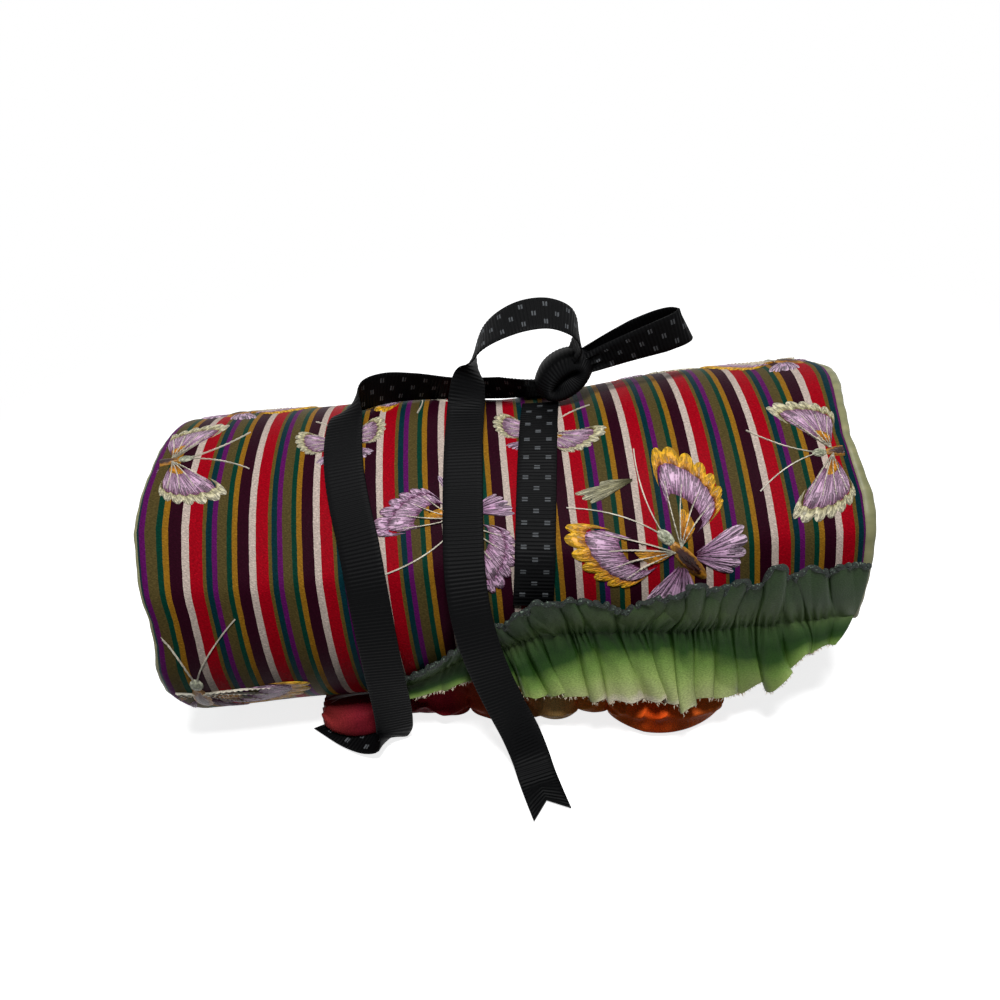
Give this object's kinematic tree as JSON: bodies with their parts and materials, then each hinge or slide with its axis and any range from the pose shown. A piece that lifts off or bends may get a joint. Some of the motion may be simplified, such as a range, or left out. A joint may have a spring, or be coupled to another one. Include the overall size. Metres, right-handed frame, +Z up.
{
  "type": "jewelry roll",
  "caption": "Padded brocade jewelry roll wound round a stuffed bolster, with a ruffled flap, zip and slip pockets inside, tied with a dotted ribbon bow.",
  "frame": {"origin": "on the table, under the middle of the roll with its trims, the ribbon's free ends and bow left out", "axes": "+X along the roll to the end where the ruffle runs out, -Y to the front with the ruffle, +Z up"},
  "size_m": [0.2334, 0.1504, 0.1194],
  "materials": {
    "brocade": "satin-weave striped brocade",
    "batting": "matte polyester wadding",
    "lining_satin": "pale green satin",
    "grosgrain": "ribbed grosgrain with pale dots on one face",
    "green_taffeta": "shaded green taffeta",
    "burgundy_silk": "shot silk, burgundy to orange",
    "zip_tape": "woven tape",
    "zip_nylon": "coiled nylon",
    "brass": "satin"
  },
  "bodies": {
    "bottom": {"cover_bottom": "brocade", "padding_bottom": "batting", "lining_bottom": "lining_satin", "zip_pocket_panel": "lining_satin", "zip_tape_front": "zip_tape", "zip_tape_back": "zip_tape", "zip_coil": "zip_nylon", "zip_stop_left": "brass", "zip_stop_right": "brass", "ribbon_front_band": "grosgrain", "ribbon_back_band": "grosgrain", "ribbon_knot": "grosgrain", "ribbon_tail_right": "grosgrain", "ribbon_tail_left": "grosgrain", "ribbon_loop_left": "grosgrain", "ribbon_loop_right": "grosgrain"},
    "flap_end": {"cover_flap_end": "brocade", "padding_flap_end": "batting", "lining_flap_end": "lining_satin", "green_ruffle": "green_taffeta", "ruched_trim": "burgundy_silk"},
    "flap_front": {"cover_flap_front": "brocade", "padding_flap_front": "batting", "lining_flap_front": "lining_satin"},
    "top": {"cover_top": "brocade", "padding_top": "batting", "lining_top": "lining_satin"},
    "upper_back": {"cover_upper_back": "brocade", "padding_upper_back": "batting", "lining_upper_back": "lining_satin"},
    "lower_back": {"cover_lower_back": "brocade", "padding_lower_back": "batting", "lining_lower_back": "lining_satin", "slip_pocket_panel": "lining_satin", "slip_pocket_binding": "brocade"},
    "inner_lower_front": {"cover_inner_lower_front": "brocade", "padding_inner_lower_front": "batting", "lining_inner_lower_front": "lining_satin"},
    "inner_upper_front": {"cover_inner_upper_front": "brocade", "padding_inner_upper_front": "batting", "lining_inner_upper_front": "lining_satin"},
    "inner_top": {"cover_inner_top": "brocade", "padding_inner_top": "batting", "lining_inner_top": "lining_satin", "bolster_stuffing": "batting", "bolster_skin": "lining_satin", "bolster_cap_left": "lining_satin", "bolster_cap_right": "lining_satin"},
    "zip_slider": {"zip_slider": "brass"},
    "zip_pull": {"zip_pull": "brass"}
  },
  "joints": [
    {"name": "unroll", "type": "hinge", "parent": "bottom", "child": "lower_back", "pos_m": [0, 0.03185, 0.00181], "axis": [-1, 0, 0], "range_deg": [0, 43.15], "deforming": ["ribbon_front_band", "ribbon_back_band", "ribbon_knot", "ribbon_tail_right", "ribbon_tail_left", "ribbon_loop_left", "ribbon_loop_right"]},
    {"name": "unroll_upper_back", "type": "hinge", "parent": "lower_back", "child": "upper_back", "pos_m": [0, 0.06048, 0.03577], "axis": [-1, 0, 0], "range_deg": [0, 61.97]},
    {"name": "unroll_top", "type": "hinge", "parent": "upper_back", "child": "top", "pos_m": [0, 0.04267, 0.07626], "axis": [-1, 0, 0], "range_deg": [0, 50.37]},
    {"name": "unroll_flap_front", "type": "hinge", "parent": "top", "child": "flap_front", "pos_m": [0, -0.0022, 0.08773], "axis": [-1, 0, 0], "range_deg": [0, 46.29]},
    {"name": "unroll_flap_end", "type": "hinge", "parent": "flap_front", "child": "flap_end", "pos_m": [0, -0.04204, 0.06512], "axis": [-1, 0, 0], "range_deg": [0, 57.26]},
    {"name": "unroll_inner_lower_front", "type": "hinge", "parent": "bottom", "child": "inner_lower_front", "pos_m": [0, -0.01613, 0.00308], "axis": [1, 0, 0], "range_deg": [0, 46.19]},
    {"name": "unroll_inner_upper_front", "type": "hinge", "parent": "inner_lower_front", "child": "inner_upper_front", "pos_m": [0, -0.04126, 0.03765], "axis": [1, 0, 0], "range_deg": [0, 64.07]},
    {"name": "unroll_inner_top", "type": "hinge", "parent": "inner_upper_front", "child": "inner_top", "pos_m": [0, -0.01897, 0.07314], "axis": [1, 0, 0], "range_deg": [0, 53.59]},
    {"name": "zip_slide", "type": "slide", "parent": "bottom", "child": "zip_slider", "axis": [-1, 0, 0], "range_m": [0, 0.1854]},
    {"name": "zip_pull_flip", "type": "hinge", "parent": "zip_slider", "child": "zip_pull", "pos_m": [0.09327, -0.00248, 0.01745], "axis": [0, -1, 0], "range_deg": [0, 120]}
  ],
  "couplings": [
    {"joint": "unroll_upper_back", "follows": "unroll", "ratio": 1.4359},
    {"joint": "unroll_top", "follows": "unroll", "ratio": 1.167},
    {"joint": "unroll_flap_front", "follows": "unroll", "ratio": 1.0725},
    {"joint": "unroll_flap_end", "follows": "unroll", "ratio": 1.3268},
    {"joint": "unroll_inner_lower_front", "follows": "unroll", "ratio": 1.0702},
    {"joint": "unroll_inner_upper_front", "follows": "unroll", "ratio": 1.4846},
    {"joint": "unroll_inner_top", "follows": "unroll", "ratio": 1.2417}
  ]
}
